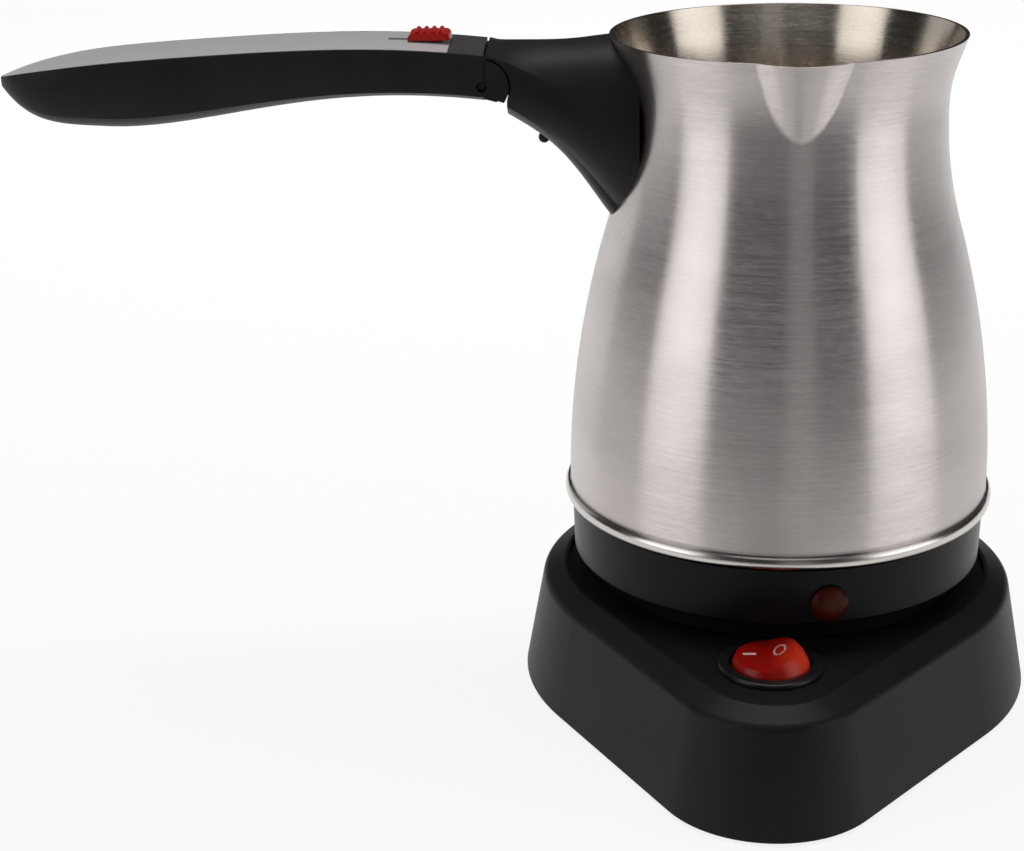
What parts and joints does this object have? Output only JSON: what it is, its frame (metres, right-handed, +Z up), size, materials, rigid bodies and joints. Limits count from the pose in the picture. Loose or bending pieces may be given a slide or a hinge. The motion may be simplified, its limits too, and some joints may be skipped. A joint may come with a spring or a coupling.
{
  "type": "electric turkish coffee maker",
  "caption": "Brushed steel coffee pot with a pouring beak and a locking fold-down handle, lifting off a teardrop plastic base with a round rocker switch, a centre coupler and a pilot lamp.",
  "frame": {"origin": "on the pot's axis, at the table the rubber feet stand on", "axes": "+Z up along the pot's axis; the handle points along -X and the pouring beak along -Y"},
  "size_m": [0.2355, 0.1451, 0.1562],
  "materials": {
    "base_plastic": "satin",
    "foot_rubber": "matt",
    "fixing_steel": "satin",
    "contact_brass": "satin",
    "switch_plastic": "gloss",
    "wire_sleeve": "satin",
    "rocker_red": "gloss",
    "pot_steel": "brushed",
    "bright_steel": "polished",
    "housing_plastic": "satin",
    "plate_aluminium": "satin",
    "element_steel": "matt",
    "lens_red": "gloss",
    "lamp_glass": "gloss",
    "bracket_plastic": "gloss",
    "grip_plastic": "gloss",
    "inlay_satin": "satin",
    "cap_plastic": "satin",
    "button_red": "gloss"
  },
  "bodies": {
    "base": {"base_shell": "base_plastic", "bottom_plate": "base_plastic", "rubber_feet": "foot_rubber", "base_screws": "fixing_steel", "base_coupler": "base_plastic", "coupler_contacts": "contact_brass", "switch_housing": "switch_plastic", "switch_terminals": "contact_brass", "base_wires": "wire_sleeve"},
    "rocker": {"rocker": "rocker_red"},
    "pot": {"vessel": "pot_steel", "trim_ring": "bright_steel", "heater_housing": "housing_plastic", "housing_cover": "housing_plastic", "pot_coupler": "housing_plastic", "coupler_pins": "contact_brass", "heat_plate": "plate_aluminium", "heating_element": "element_steel", "thermostat": "plate_aluminium", "thermal_fuse": "fixing_steel", "indicator_lens": "lens_red", "indicator_lamp": "lamp_glass", "housing_screws": "fixing_steel", "handle_pad": "pot_steel", "handle_bracket": "bracket_plastic", "bracket_cover": "bracket_plastic", "bracket_screws": "fixing_steel", "hinge_pin": "fixing_steel", "pot_wires": "wire_sleeve"},
    "handle": {"grip_shell": "grip_plastic", "grip_inlay": "inlay_satin", "hinge_cap": "cap_plastic", "grip_screws": "fixing_steel", "lock_spring": "fixing_steel"},
    "slider": {"lock_button": "button_red", "lock_bolt": "switch_plastic"}
  },
  "joints": [
    {"name": "rocker_tilt", "type": "hinge", "parent": "base", "child": "rocker", "pos_m": [-0.00536, -0.05564, 0.0254], "axis": [0.0958, 0.9954, 0], "range_deg": [0, 24]},
    {"name": "pot_lift", "type": "slide", "parent": "base", "child": "pot", "axis": [0, 0, 1], "range_m": [0, 0.06]},
    {"name": "handle_fold", "type": "hinge", "parent": "pot", "child": "handle", "pos_m": [-0.0673, 0, 0.1453], "axis": [0, -1, 0], "range_deg": [0, 90]},
    {"name": "lock_slide", "type": "slide", "parent": "handle", "child": "slider", "axis": [-1, 0, 0], "range_m": [0, 0.0045], "stiffness_N_per_m": 300, "deforming": ["lock_spring"]}
  ]
}
